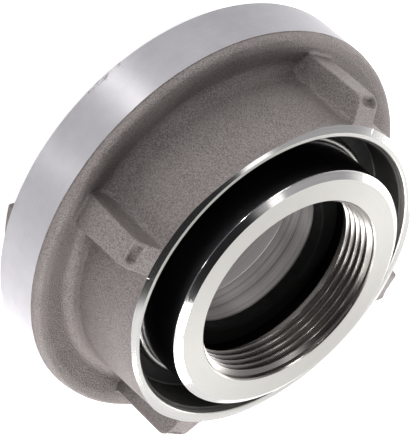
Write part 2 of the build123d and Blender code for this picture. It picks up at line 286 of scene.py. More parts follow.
def new_finish(name, colour, roughness, metallic=1.0):
    """A material with one Principled shader, and its tree, shader and object coordinates."""
    finish = bpy.data.materials.new(name)
    finish.use_nodes = True
    tree = finish.node_tree
    tree.nodes.clear()
    values = {"Base Color": linear(colour), "Roughness": roughness, "Metallic": metallic}
    shader = add(tree, "ShaderNodeBsdfPrincipled", values)
    add(tree, "ShaderNodeOutputMaterial", links={"Surface": shader.outputs[0]})
    return finish, tree, shader, add(tree, "ShaderNodeTexCoord").outputs["Object"]


def patches(size, detail=2.0, roughness=0.5):
    """Noise settings for patches that are about size millimetres across."""
    return {"Scale": 1 / (size * MM), "Detail": detail, "Roughness": roughness}


# %% [markdown]
# The ring's skin is aluminium, cast and then shot blasted. The shot leaves small dents side by
# side, so the metal is dull, and the eye sees a grain of pale and dark specks in a warm grey. One
# noise makes the grain, and drives colour, roughness and bumps together, as real dents do. Dirt
# Inside corners get painted shade and some dirt, found by Ambient Occlusion, not painted by hand.

# %% Shot blasted casting
GRAIN = 0.42                    # mm, coarser than the real 0.2 mm, to show in the render
GRAIN_DEPTH = 0.45
CLOUDS = 9.0                    # mm, stretches where the skin came out paler or darker
CORNER_SHADE_AND_DIRT_REACH = 1.6                # mm, how far the painted shade and dirt reach out from an inside corner


def shot_blasted_casting():
    """Cast aluminium after shot blasting: dull warm grey, a fine grain of small dents, and painted
    shade with some dirt in inside corners.
    """
    finish, tree, shader, where = new_finish("shot_blasted_aluminium", "827a79", 0.52)
    grain = add(tree, "ShaderNodeTexNoise", patches(GRAIN, 2.0, 0.8), {"Vector": where})
    grain = grain.outputs["Fac"]
    cloud = add(tree, "ShaderNodeTexNoise", patches(CLOUDS), {"Vector": where})
    paler = add(tree, "ShaderNodeMapRange", MIDDLE | {"To Min": 0.2, "To Max": 0.8},
                {"Value": cloud.outputs["Fac"]})
    tint = add(tree, "ShaderNodeMix", {COLOUR_A: linear("6a6363"), COLOUR_B: linear("857d7b")},
               {FACTOR: paler.outputs["Result"]}, data_type="RGBA")
    fleck = add(tree, "ShaderNodeMapRange", MIDDLE | {"To Min": -0.2, "To Max": 1.1},
                {"Value": grain})
    flecked = add(tree, "ShaderNodeMix", {COLOUR_B: linear("b0a9a6")},
                  {FACTOR: fleck.outputs["Result"], COLOUR_A: tint.outputs[MIXED]},
                  data_type="RGBA")
    # Inside corners darken towards 2e2a2a: painted shade, with some dirt.
    open_air = add(tree, "ShaderNodeAmbientOcclusion", {"Distance": CORNER_SHADE_AND_DIRT_REACH * MM}, samples=8)
    shade_and_dirt = add(tree, "ShaderNodeMapRange",
               {"From Min": 0.3, "From Max": 0.75, "To Min": 0.3, "To Max": 0.0},
               {"Value": open_air.outputs["AO"]})
    shaded_and_soiled = add(tree, "ShaderNodeMix", {COLOUR_B: linear("2e2a2a")},
                 {FACTOR: shade_and_dirt.outputs["Result"], COLOUR_A: flecked.outputs[MIXED]},
                 data_type="RGBA")
    tree.links.new(shaded_and_soiled.outputs[MIXED], shader.inputs["Base Color"])
    dull = add(tree, "ShaderNodeMapRange", MIDDLE | {"To Min": 0.44, "To Max": 0.62},
               {"Value": grain})
    tree.links.new(dull.outputs["Result"], shader.inputs["Roughness"])
    bump = add(tree, "ShaderNodeBump", {"Strength": 1.0, "Distance": GRAIN_DEPTH * MM},
               {"Height": grain})
    tree.links.new(bump.outputs[0], shader.inputs["Normal"])
    return finish


CASTING = shot_blasted_casting()
print("finish:", CASTING.name)

# %% [markdown]
# Where a lathe has cut the aluminium, it is bright, and the tool has left rings as fine as its
# feed. They run round the axis, so they smear each reflection across themselves. The shader's
# anisotropy does that, with a tangent round the axis, and costs nothing. The rings proper are
# noise that changes with the radius and the height only. They tint the metal, and raise it a
# little, and a second noise adds faint stains. Six cut surfaces differ in these few numbers.


# %% Rings that a lathe leaves
def lathe_rings(tree, where, feed):
    """Noise that changes along the radius and the height only, as rings cut on a lathe do."""
    parts = add(tree, "ShaderNodeSeparateXYZ", None, {0: where}).outputs
    flat = add(tree, "ShaderNodeCombineXYZ", None, {0: parts[0], 1: parts[1]})
    radius = add(tree, "ShaderNodeVectorMath", None, {0: flat.outputs[0]}, operation="LENGTH")
    rings = add(tree, "ShaderNodeCombineXYZ", None, {0: radius.outputs["Value"], 1: parts[2]})
    noise_node = add(tree, "ShaderNodeTexNoise", patches(feed, 3.0, 0.7),
                     {"Vector": rings.outputs[0]})
    return noise_node.outputs["Fac"]


# %% Turned and polished aluminium
STAINS = 6.0                    # mm across


def turned_aluminium(name, colour, roughness, feed, depth, spread, streaks=0.15, stains=0.1):
    """Aluminium off the lathe. spread says how far its rings smear a reflection across them."""
    finish, tree, shader, where = new_finish(name, colour, roughness)
    rings = lathe_rings(tree, where, feed)
    stain = add(tree, "ShaderNodeTexNoise", patches(STAINS, 4.0, 0.6), {"Vector": where})
    shades = [
        add(tree, "ShaderNodeMapRange", MIDDLE | {"To Min": 0.0, "To Max": darkest},
            {"Value": pattern}).outputs["Result"]
        for pattern, darkest in ((rings, streaks), (stain.outputs["Fac"], stains))
    ]
    shade = add(tree, "ShaderNodeMath", None, {0: shades[0], 1: shades[1]}, operation="MAXIMUM")
    worn = add(tree, "ShaderNodeMix", {COLOUR_A: linear(colour), COLOUR_B: linear("3a3738")},
               {FACTOR: shade.outputs[0]}, data_type="RGBA")
    tree.links.new(worn.outputs[MIXED], shader.inputs["Base Color"])
    shader.inputs["Anisotropic"].default_value = spread
    shader.inputs["Anisotropic Rotation"].default_value = 0.25      # a quarter turn
    round_axis = add(tree, "ShaderNodeTangent", direction_type="RADIAL", axis="Z")
    tree.links.new(round_axis.outputs[0], shader.inputs["Tangent"])
    dull = add(tree, "ShaderNodeMapRange",
               MIDDLE | {"To Min": roughness * 0.85, "To Max": roughness * 1.2},
               {"Value": rings})
    tree.links.new(dull.outputs["Result"], shader.inputs["Roughness"])
    bump = add(tree, "ShaderNodeBump", {"Strength": 1.0, "Distance": depth * MM},
               {"Height": rings})
    tree.links.new(bump.outputs[0], shader.inputs["Normal"])
    return finish


# The end faces, cut last and wiped clean: the palest metal, with soft reflections.
BRIGHT = turned_aluminium("bright_turned_aluminium", "e4e2dd", 0.42, 0.4, 0.008, 0.3)
# The thread: darker and sharper than the end faces, so that each crest draws a thin bright line.
THREADED = turned_aluminium("threaded_aluminium", "a19d99", 0.26, 0.3, 0.004, 0.5)
# The bevel and the chamfers: nearly mirrors, black or white by where they face.
POLISHED = turned_aluminium("polished_aluminium", "e6e4e2", 0.13, 0.6, 0.001, 0.5)
# The stub's wall in the gap: a dark grey that is painted shade and dark reflection of the gap, with
# one sharp streak.
SHADED_WALL = turned_aluminium("shaded_wall_aluminium", "55555a", 0.18, 0.5, 0.002, 0.4)
# The waterway, bored roughly: deep rings, strong streaks and stains.
BORE = turned_aluminium("rough_bored_aluminium", "c6c1c0", 0.4, 0.45, 0.02, 0.9, 0.6, 0.3)
# The gasket's groove: nearly black, painted shade for the deep shadow there.
SHADED_GROOVE = turned_aluminium("shaded_groove_aluminium", "1c1b1b", 0.45, 0.5, 0.004, 0.3)
print("finishes:", [finish.name for finish in (BRIGHT, THREADED, POLISHED, SHADED_WALL, BORE, SHADED_GROOVE)])

# %% [markdown]
# The rim is the widest part, so it takes the knocks. Its front edge has a row of small dents where
# the part has been set down hard, and a few specks lie elsewhere. They are too shallow to change
# the outline, so they are only colour: a noise is cut off at a level, and the level is easier to
# reach near the edge. The noise is squeezed along the axis, which makes the dents long and low.

# %% Nicks in the rim
NICKS_AROUND, NICKS_HALF = 60.5, 5.5            # azimuth of their middle, and half their spread
NICKS_LOW, NICKS_FULL, NICKS_HIGH = FACE + 0.1, FACE + 0.5, FACE + 3.0
NICK_LEVEL, SPECK_LEVEL = 0.58, 0.76
NICK_SIZE, SPECK_SIZE = 1.8, 1.6                # mm


def nicked(finish):
    """Add the dents along the rim's front edge, where the part has been dropped or knocked."""
    tree = finish.node_tree
    shader = next(node for node in tree.nodes if node.type == "BSDF_PRINCIPLED")
    where = next(node for node in tree.nodes if node.type == "TEX_COORD").outputs["Object"]
    parts = add(tree, "ShaderNodeSeparateXYZ", None, {0: where}).outputs
    angle = add(tree, "ShaderNodeMath", None, {0: parts[1], 1: parts[0]}, operation="ARCTAN2")
    around = add(tree, "ShaderNodeMath",
                 {1: math.radians(NICKS_AROUND), 2: math.radians(NICKS_HALF)},
                 {0: angle.outputs[0]}, operation="COMPARE")
    nearness = add(tree, "ShaderNodeMapRange",
                   {"From Min": NICKS_HIGH * MM, "From Max": NICKS_FULL * MM,
                    "To Min": -0.2, "To Max": 0.08}, {"Value": parts[2]})
    squeezed = add(tree, "ShaderNodeVectorMath", {1: (1, 1, 3)}, {0: where},
                   operation="MULTIPLY")
    dents = add(tree, "ShaderNodeTexNoise", patches(NICK_SIZE, 3.0, 0.6),
                {"Vector": squeezed.outputs[0]})
    dents = add(tree, "ShaderNodeMath", None, {0: dents.outputs["Fac"],
                                               1: nearness.outputs["Result"]}, operation="ADD")
    dents = add(tree, "ShaderNodeMath", {1: NICK_LEVEL}, {0: dents.outputs[0]},
                operation="GREATER_THAN")
    off_face = add(tree, "ShaderNodeMath", {1: NICKS_LOW * MM}, {0: parts[2]},
                   operation="GREATER_THAN")
    for limit in (around, off_face):
        dents = add(tree, "ShaderNodeMath", None, {0: dents.outputs[0], 1: limit.outputs[0]},
                    operation="MULTIPLY")
    specks = add(tree, "ShaderNodeTexNoise", patches(SPECK_SIZE, 4.0, 0.7), {"Vector": where})
    specks = add(tree, "ShaderNodeMath", {1: SPECK_LEVEL}, {0: specks.outputs["Fac"]},
                 operation="GREATER_THAN")
    marks = add(tree, "ShaderNodeMath", None, {0: dents.outputs[0], 1: specks.outputs[0]},
                operation="MAXIMUM")
    clean = shader.inputs["Base Color"].links[0].from_socket
    marked = add(tree, "ShaderNodeMix", {COLOUR_B: linear("807d81")},
                 {FACTOR: marks.outputs[0], COLOUR_A: clean}, data_type="RGBA")
    tree.links.new(marked.outputs[MIXED], shader.inputs["Base Color"])
    return finish


# The rim, turned with a fine even feed: its rings draw each reflection into a tall soft band.
RIM = nicked(turned_aluminium("turned_rim_aluminium", "c6c4c8", 0.45, 0.5, 0.003, 0.9, 0.02, 0.1))
print("finish:", RIM.name)

# %% [markdown]
# Rubber and the slide ring's plastic are both near black, and the eye tells them apart by their
# shine. Nitrile rubber is dull, with a dusty bloom and hardly a highlight. Moulded polyamide
# keeps the usual gloss of a plastic. One function makes all three, because only their colour,
# roughness and shine differ. The spring wire is drawn through a die, so it is smooth bright steel
# with long faint changes in its shine.

# %% Rubber, plastic and spring wire
BLOOM = 2.5                     # mm, patches where the dusty bloom is thicker
MOULD_GRAIN, MOULD_DEPTH = 0.3, 0.01    # mm, width and height of the grain on the skin
STREAKS = 5.0                   # mm, between the changes in the wire's shine


def black_moulding(name, colour, roughness, shine=0.15):
    """Black rubber, or a black plastic if it has more shine, with a faint dusty bloom."""
    finish, tree, shader, where = new_finish(name, colour, roughness, 0.0)
    shader.inputs["Specular IOR Level"].default_value = shine
    bloom = add(tree, "ShaderNodeTexNoise", patches(BLOOM, 4.0, 0.6), {"Vector": where})
    dull = add(tree, "ShaderNodeMapRange",
               MIDDLE | {"To Min": roughness - 0.07, "To Max": roughness + 0.08},
               {"Value": bloom.outputs["Fac"]})
    tree.links.new(dull.outputs["Result"], shader.inputs["Roughness"])
    skin = add(tree, "ShaderNodeTexNoise", patches(MOULD_GRAIN), {"Vector": where})
    bump = add(tree, "ShaderNodeBump", {"Strength": 1.0, "Distance": MOULD_DEPTH * MM},
               {"Height": skin.outputs["Fac"]})
    tree.links.new(bump.outputs[0], shader.inputs["Normal"])
    return finish


def drawn_spring_wire():
    """Bright drawn steel with faint streaks."""
    finish, tree, shader, where = new_finish("drawn_spring_steel", "c9c6c2", 0.3)
    streaks = add(tree, "ShaderNodeTexNoise", patches(STREAKS), {"Vector": where})
    dull = add(tree, "ShaderNodeMapRange", MIDDLE | {"To Min": 0.27, "To Max": 0.34},
               {"Value": streaks.outputs["Fac"]})
    tree.links.new(dull.outputs["Result"], shader.inputs["Roughness"])
    return finish


SEAL_RUBBER = black_moulding("nitrile_seal_rubber", "17171a", 0.5)
GASKET_RUBBER = black_moulding("nitrile_gasket_rubber", "131312", 0.7)
SLIDE_PLASTIC = black_moulding("moulded_black_polyamide", "3c3a37", 0.5, 0.5)
SPRING_WIRE = drawn_spring_wire()
print("materials:", len(bpy.data.materials))

# %% [markdown]
# The stub, the seals and the slide ring are turned or moulded round one axis, so each is fully
# given by its outline in the plane of radius and height. A Geometry Nodes tree turns that outline:
# it rounds each corner by the radius stored on the corner's own point, then sweeps the outline
# round a circle. The same tree makes a part turn along an arc, for the claws, the wire ring and the
# shapes that cut the ring's front. The outline can be corrected point by point, and the roundings
# follow, which a mesh spun by hand doesn't allow.


# %% A tree that turns an outline round the axis
def turning_tree(name, full_turn):
    """Geometry Nodes tree: corners rounded, outline swept round Z by a full turn or an arc."""
    tree = bpy.data.node_groups.new(name, "GeometryNodeTree")
    sockets = [("Outline", "NodeSocketGeometry"), ("Path radius", "NodeSocketFloat"),
               ("Steps", "NodeSocketInt"), ("Corner steps", "NodeSocketInt"),
               ("Start", "NodeSocketFloat"), ("Sweep", "NodeSocketFloat"),
               ("Finish", "NodeSocketMaterial")]
    for label, kind in sockets:
        tree.interface.new_socket(label, in_out="INPUT", socket_type=kind)
    tree.interface.new_socket("Piece", in_out="OUTPUT", socket_type="NodeSocketGeometry")
    given = add(tree, "NodeGroupInput").outputs
    corner = add(tree, "GeometryNodeInputRadius").outputs[0]
    outline = add(tree, "GeometryNodeFilletCurve", {"Limit Radius": True},
                  {"Curve": given["Outline"], "Count": given["Corner steps"], "Radius": corner},
                  mode="POLY")
    outline = add(tree, "GeometryNodeSetCurveRadius", {"Radius": 1.0},
                  {"Curve": outline.outputs[0]})
    if full_turn:
        path = add(tree, "GeometryNodeCurvePrimitiveCircle", None,
                   {"Radius": given["Path radius"], "Resolution": given["Steps"]})
    else:
        path = add(tree, "GeometryNodeCurveArc", None,
                   {"Radius": given["Path radius"], "Resolution": given["Steps"],
                    "Start Angle": given["Start"], "Sweep Angle": given["Sweep"]})
    path = add(tree, "GeometryNodeSetCurveNormal", None, {"Curve": path.outputs[0]}, mode="Z_UP")
    piece = add(tree, "GeometryNodeCurveToMesh", {"Fill Caps": not full_turn},
                {"Curve": path.outputs[0], "Profile Curve": outline.outputs[0]})
    piece = add(tree, "GeometryNodeRealizeInstances", links={0: piece.outputs[0]})
    piece = add(tree, "GeometryNodeSetMaterial", None,
                {"Geometry": piece.outputs[0], "Material": given["Finish"]})
    add(tree, "NodeGroupOutput", links={0: piece.outputs[0]})
    return tree


FULL_TURN = turning_tree("turn_full", True)
PART_TURN = turning_tree("turn_part", False)
print("trees:", FULL_TURN.name, "and", PART_TURN.name)


# %% [markdown]
# A tree works as a modifier, and a modifier needs an object to sit on. So each outline becomes a
# curve on a seed object for a moment. Blender evaluates the seed, the result is copied as a plain
# mesh, and the seed is thrown away. What stays is a mesh that any tool can read and export. Where
# a sweep has met itself, doubled points are merged first, and then the faces are turned outwards.


# %% Run a tree on an outline and keep the result as a plain mesh
def set_inputs(modifier, values):
    """Fill a tree's named inputs through their identifiers."""
    for item in modifier.node_group.interface.items_tree:
        if item.in_out == "INPUT" and item.name in values:
            modifier[item.identifier] = values[item.name]


def outline_curve(name, corners, middle):
    """Closed flat curve of (radius, height, rounding). Heights run down, as the sweep expects."""
    curve = bpy.data.curves.new(name, "CURVE")
    curve.dimensions = "2D"
    spline = curve.splines.new("POLY")
    spline.points.add(len(corners) - 1)
    for point, (radius, height, rounding) in zip(spline.points, corners):
        point.co = ((radius - middle) * MM, -height * MM, 0, 1)
        point.radius = rounding * MM
    spline.use_cyclic_u = True
    return curve


def grow(name, data, tree, **values):
    """Evaluate a tree on a curve or mesh, and return the result as a new mesh object."""
    seed = bpy.data.objects.new(name + "_seed", data)
    bpy.context.scene.collection.objects.link(seed)
    modifier = seed.modifiers.new("tree", "NODES")
    modifier.node_group = tree
    set_inputs(modifier, {key.replace("_", " "): value for key, value in values.items()})
    ready = seed.evaluated_get(bpy.context.evaluated_depsgraph_get())
    mesh = bpy.data.meshes.new_from_object(ready)
    mesh.name = name
    bpy.data.objects.remove(seed)
    piece = bpy.data.objects.new(name, mesh)
    bpy.context.scene.collection.objects.link(piece)
    return piece


def face_outwards(piece):
    """Merge doubles and point the faces outwards."""
    work = bmesh.new()
    work.from_mesh(piece.data)
    bmesh.ops.remove_doubles(work, verts=work.verts, dist=0.0005 * MM)
    bmesh.ops.recalc_face_normals(work, faces=work.faces)
    if work.calc_volume(signed=True) < 0:
        bmesh.ops.reverse_faces(work, faces=work.faces)
    work.to_mesh(piece.data)
    work.free()


def turn(name, corners, finish, steps=288, corner_steps=4, start=None, sweep=None):
    """Turned piece from corners given as (radius, height, rounding) in millimetres."""
    radii = [corner[0] for corner in corners]
    middle = (min(radii) + max(radii)) / 2
    values = {"Path_radius": middle * MM, "Steps": steps, "Corner_steps": corner_steps,
              "Finish": finish}
    tree = FULL_TURN
    if sweep is not None:
        values.update(Start=math.radians(start), Sweep=math.radians(sweep))
        tree = PART_TURN
    piece = grow(name, outline_curve(name, corners, middle), tree, **values)
    face_outwards(piece)
    return piece


# %% [markdown]
# Turned and cast metal is smooth between its edges. Smooth shading hides the small faces, and the
# edges that are meant to be seen are marked sharp by their angle. Weighted normals let the large
# faces lead, so that a narrow rounding bends the light and the flat beside it stays flat. A piece
# may have several finishes, and a rule on each face's place and direction picks one.


# %% Smooth faces and sharp edges
def smooth(piece, sharp_angle=32.0):
    """Shade a piece smooth with sharp edges kept, and let large faces lead the shading."""
    piece.data.shade_smooth()
    piece.data.set_sharp_from_angle(angle=math.radians(sharp_angle))
    weigh = piece.modifiers.new("weigh", "WEIGHTED_NORMAL")
    weigh.keep_sharp = True
    weigh.weight = 50
    ready = piece.evaluated_get(bpy.context.evaluated_depsgraph_get())
    mesh = bpy.data.meshes.new_from_object(ready)
    piece.modifiers.clear()
    piece.data = mesh


def paint(piece, finishes, rule):
    """Give each face the finish that the rule returns for its middle and normal."""
    mesh = piece.data
    mesh.materials.clear()
    for finish in finishes:
        mesh.materials.append(finish)
    number = {finish.name: i for i, finish in enumerate(finishes)}
    for face in mesh.polygons:
        middle = face.center / MM
        radius = math.hypot(middle.x, middle.y)
        outward = (face.normal.x * middle.x + face.normal.y * middle.y) / max(radius, 1e-6)
        face.material_index = number[rule(radius, middle.z, outward, face.normal.z).name]


def place_piece(piece, body, slot, *nodes):
    """Hang a finished piece on the body that it rides on, and hide the nodes that it stands for.
    slot is not used.
    """
    if nodes:
        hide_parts(*nodes)
    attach(piece, body)
    print(piece.name, len(piece.data.polygons), "faces")


# %% [markdown]
# The stub is one turned piece of aluminium. Its outline goes from the polished chamfer at the
# threaded end, down the bore with the gasket's seat, through the waterway to the head that holds
# the face seal, and back up the outer wall, with a groove for the wire ring. Every corner gets
# the small radius that a lathe tool or a deburring cut leaves, because real metal has no
# perfectly sharp edge, and the light catches on that radius.

# %% Sizes of the stub
STUB_R = 39.0
END_CHAMFER, END_CHAMFER_HEIGHT = 2.1, 1.3
THREAD_R, THREAD_BOTTOM = 29.8, STUB_END - 14.0
THREAD_MOUTH = 0.4
RELIEF_R = GASKET_R + 0.1           # groove behind the thread
SEAT_R = RELIEF_R - 5.6             # inner edge of the gasket's seat
BORE_R = SEAT_R + 0.6
BORE_TOP, BORE_END = SEAT - 2.9, SEAT - 10.9
LIP_R, MOUTH_START_R = BORE_R + 0.5, BORE_R + 0.9       # two small lips end the bore
UPPER_LIP, LOWER_LIP, LIPS_END = BORE_END - 0.5, BORE_END - 1.1, BORE_END - 1.6
MOUTH_R, MOUTH_TOP = 33.0, HEAD_FACE + 6.1
SEAL_IN_R, SEAL_OUT_R = 35.2, 42.15
LOCK_R, LOCK_BOTTOM = SEAL_OUT_R + 0.9, SEAL_TOP - 2.2  # undercut that holds the seal
HEAD_CHAMFER = 0.8
SHOULDER = 33.0                     # the claw ring's shoulder, which the collar pulls against
COLLAR_TOP = SHOULDER - 0.35
WIRE_MIDDLE = (WIRE_LOW + WIRE_HIGH) / 2
WIRE_HALF = (WIRE_HIGH - WIRE_LOW) / 2
WIRE_GROOVE_HALF, WIRE_GROOVE_R = 1.0, STUB_R - 0.55
print("the gasket's seat runs from", round(SEAT_R, 2), "to", round(RELIEF_R, 2), "mm")

# %% Turned stub
stub_corners = [
    (STUB_R - END_CHAMFER, STUB_END, 0.15),
    (THREAD_R + THREAD_MOUTH, STUB_END, 0.1),
    (THREAD_R, STUB_END - THREAD_MOUTH, 0.1),
    (THREAD_R, THREAD_BOTTOM, 0.15),
    (RELIEF_R, THREAD_BOTTOM, 0.15),
    (RELIEF_R, SEAT, 0.1),
    (SEAT_R + 0.3, SEAT, 0.1),
    (SEAT_R, SEAT - 0.4, 0.1),
    (SEAT_R, BORE_TOP, 0.2),
    (BORE_R, BORE_TOP, 0.2),
    (BORE_R, BORE_END, 0.15),
    (LIP_R, UPPER_LIP, 0.1),
    (LIP_R, LOWER_LIP, 0.1),
    (MOUTH_START_R, LIPS_END, 0.2),
    (MOUTH_R, MOUTH_TOP, 2.0),
    (MOUTH_R, HEAD_FACE, 0.3),
    (SEAL_IN_R, HEAD_FACE, 0.2),
    (SEAL_IN_R, SEAL_TOP, 0.1),
    (LOCK_R, SEAL_TOP, 0.1),
    (LOCK_R, LOCK_BOTTOM, 0.1),
    (SEAL_OUT_R, LOCK_BOTTOM, 0.1),
    (SEAL_OUT_R, HEAD_FACE, 0.2),
    (HEAD_R - HEAD_CHAMFER, HEAD_FACE, 0.15),
    (HEAD_R, HEAD_FACE + HEAD_CHAMFER, 0.15),
    (HEAD_R, COLLAR_TOP - HEAD_CHAMFER, 0.15),
    (HEAD_R - HEAD_CHAMFER, COLLAR_TOP, 0.15),
    (STUB_R, COLLAR_TOP, 0.4),
    (STUB_R, WIRE_MIDDLE - WIRE_GROOVE_HALF, 0.05),
    (WIRE_GROOVE_R, WIRE_MIDDLE - WIRE_GROOVE_HALF, 0.5),
    (WIRE_GROOVE_R, WIRE_MIDDLE + WIRE_GROOVE_HALF, 0.5),
    (STUB_R, WIRE_MIDDLE + WIRE_GROOVE_HALF, 0.05),
    (STUB_R, STUB_END - END_CHAMFER_HEIGHT, 0.3),
]


def stub_finish(radius, height, outward, upward):
    """Finish of a face of the stub, by where it lies and how far it faces upwards."""
    if radius > STUB_R - END_CHAMFER and height > COLLAR_TOP and upward < 0.97:
        return POLISHED if upward > 0.3 else SHADED_WALL
    if radius < MOUTH_R + 0.1 and HEAD_FACE + 0.4 < height < SEAT - 0.05:
        on_lip = UPPER_LIP < height < BORE_END or LIPS_END < height < LOWER_LIP
        return POLISHED if on_lip else BORE
    # The groove behind the thread gets the nearly black painted shade.
    if SEAT - 0.05 <= height < THREAD_BOTTOM + 0.1 and radius < RELIEF_R + 0.1:
        return SHADED_GROOVE
    if THREAD_BOTTOM <= height < STUB_END - 0.02 and radius < THREAD_R + 0.35:
        return THREADED
    return BRIGHT


stub = turn("turned_stub", stub_corners, BRIGHT)
smooth(stub)
paint(stub, [BRIGHT, POLISHED, SHADED_WALL, BORE, SHADED_GROOVE, THREADED], stub_finish)
place_piece(stub, "stub", "turned_stub", "threaded_stub")

# %% [markdown]
# The pipe thread is a ridge that climbs the bore like a screw. It is too fine for the measured
# solids, and here it is drawn at its true size: 2.309 mm from turn to turn, flanks at 55 degrees,
# 28.33 mm from the axis at its crests. A Screw modifier could make the ridge, but it would cut
# both ends off square. Here a spiral is the path, the ridge's section is swept along it, and the
# sweep's scale falls to nothing at both ends, so that the ridge runs out into the wall, as one cut
# on a lathe does.

# %% A tree that sweeps a ridge along a spiral
PITCH = 2.309
CREST_R = 28.33
RIDGE_BASE_R = THREAD_R + 0.08      # sunk a little into the wall, so that no gap shows
RIDGE_LOW = THREAD_BOTTOM + 0.9
RIDGE_HIGH = STUB_END - 1.1


def spiral_tree():
    """Geometry Nodes tree: a section swept up a spiral, faded out at both ends."""
    tree = bpy.data.node_groups.new("spiral_ridge", "GeometryNodeTree")
    for label, kind in [("Section", "NodeSocketGeometry"), ("Radius", "NodeSocketFloat"),
                        ("Low", "NodeSocketFloat"), ("Rise", "NodeSocketFloat"),
                        ("Turns", "NodeSocketFloat"), ("Steps per turn", "NodeSocketInt"),
                        ("Fade", "NodeSocketFloat"), ("Finish", "NodeSocketMaterial")]:
        tree.interface.new_socket(label, in_out="INPUT", socket_type=kind)
    tree.interface.new_socket("Ridge", in_out="OUTPUT", socket_type="NodeSocketGeometry")
    given = add(tree, "NodeGroupInput").outputs
    spiral = add(tree, "GeometryNodeCurveSpiral", None,
                 {"Resolution": given["Steps per turn"], "Rotations": given["Turns"],
                  "Start Radius": given["Radius"], "End Radius": given["Radius"],
                  "Height": given["Rise"]})
    spiral.inputs["Reverse"].default_value = True       # right-handed
    lift = add(tree, "ShaderNodeCombineXYZ", links={2: given["Low"]}).outputs[0]
    path = add(tree, "GeometryNodeSetPosition", None, {"Geometry": spiral.outputs[0],
                                                       "Offset": lift})
    path = add(tree, "GeometryNodeSetCurveNormal", None, {"Curve": path.outputs[0]}, mode="Z_UP")
    along = add(tree, "GeometryNodeSplineParameter").outputs["Factor"]
    from_end = add(tree, "ShaderNodeMath", {0: 1.0}, {1: along}, operation="SUBTRACT").outputs[0]
    nearest = add(tree, "ShaderNodeMath", links={0: along, 1: from_end}, operation="MINIMUM")
    scale = add(tree, "ShaderNodeMapRange", {"To Min": 0.02, "To Max": 1.0},
                {"Value": nearest.outputs[0], "From Max": given["Fade"]})
    ridge = add(tree, "GeometryNodeCurveToMesh", {"Fill Caps": True},
                {"Curve": path.outputs[0], "Profile Curve": given["Section"],
                 "Scale": scale.outputs["Result"]})
    ridge = add(tree, "GeometryNodeRealizeInstances", links={0: ridge.outputs[0]})
    ridge = add(tree, "GeometryNodeSetMaterial", None,
                {"Geometry": ridge.outputs[0], "Material": given["Finish"]})
    add(tree, "NodeGroupOutput", links={0: ridge.outputs[0]})
    return tree


# %% Pipe thread
HALF_BASE, HALF_CREST = 0.99, 0.20      # half widths of the ridge at the wall and at its crest
CREST_ROUND = 0.12
FADE_TURNS = 0.35                       # the ridge runs out over this part of a turn
section = [
    (RIDGE_BASE_R, -HALF_BASE, 0),
    (CREST_R + CREST_ROUND, -HALF_CREST - CREST_ROUND / 2, 0),
    (CREST_R, -HALF_CREST / 2, 0),
    (CREST_R, HALF_CREST / 2, 0),
    (CREST_R + CREST_ROUND, HALF_CREST + CREST_ROUND / 2, 0),
    (RIDGE_BASE_R, HALF_BASE, 0),
]
section_curve = outline_curve("ridge_section", section, RIDGE_BASE_R)
for point in section_curve.splines[0].points:
    point.radius = 1.0                  # the sweep scales by this, and here nothing is rounded
turns = (RIDGE_HIGH - RIDGE_LOW) / PITCH
thread = grow("pipe_thread", section_curve, spiral_tree(), Radius=RIDGE_BASE_R * MM,
              Low=RIDGE_LOW * MM, Rise=(RIDGE_HIGH - RIDGE_LOW) * MM, Turns=turns,
              Steps_per_turn=144, Fade=FADE_TURNS / turns, Finish=THREADED)
print("turns of the thread:", round(turns, 2))
face_outwards(thread)
smooth(thread, 50.0)
place_piece(thread, "stub", "turned_stub")

# %% [markdown]
# The seal, the gasket and the slide ring are moulded or cut rings. Spin could make them one by
# one, but the tree that turned the stub is at hand, and rounds their corners as well. Moulded
# rubber has larger roundings than cut metal. The seal has a foot that locks it in the head's
# undercut, and a lip that the water presses outwards.

# %% Face seal
SEAL_GAP = 0.1
SEAL_LIP_R = SEAL_IN_R - 1.4            # the lip reaches this far over the inner wall
SEAL_LIP_WIDTH = 2.2
seal_corners = [
    (SEAL_IN_R + SEAL_GAP, SEAL_TOP, 0.2),
    (SEAL_R, SEAL_TOP, 0.3),
    (SEAL_R, LOCK_BOTTOM + SEAL_GAP, 0.3),
    (SEAL_OUT_R - SEAL_GAP, LOCK_BOTTOM + SEAL_GAP, 0.2),
    (SEAL_OUT_R - SEAL_GAP, SEAL_FRONT, 0.8),
    (SEAL_LIP_R + SEAL_LIP_WIDTH, SEAL_FRONT, 0.5),
    (SEAL_LIP_R, SEAL_FRONT + 0.3, 0.35),
    (SEAL_LIP_R, HEAD_FACE - SEAL_GAP, 0.15),
    (SEAL_IN_R + SEAL_GAP, HEAD_FACE - SEAL_GAP, 0.1),
]
seal = turn("face_seal_rubber", seal_corners, SEAL_RUBBER)
smooth(seal)
place_piece(seal, "stub", "seal_rubber", "face_seal")

# %% Thread gasket
GASKET_IN_R = SEAT_R - 0.25             # it reaches a little over its seat
gasket_corners = [
    (GASKET_IN_R, SEAT, 0.2),
    (GASKET_R, SEAT, 0.2),
    (GASKET_R, GASKET_TOP, 0.3),
    (GASKET_IN_R, GASKET_TOP, 0.9),
]
gasket = turn("flat_gasket_rubber", gasket_corners, GASKET_RUBBER)
smooth(gasket)
place_piece(gasket, "stub", "gasket_rubber", "thread_gasket")

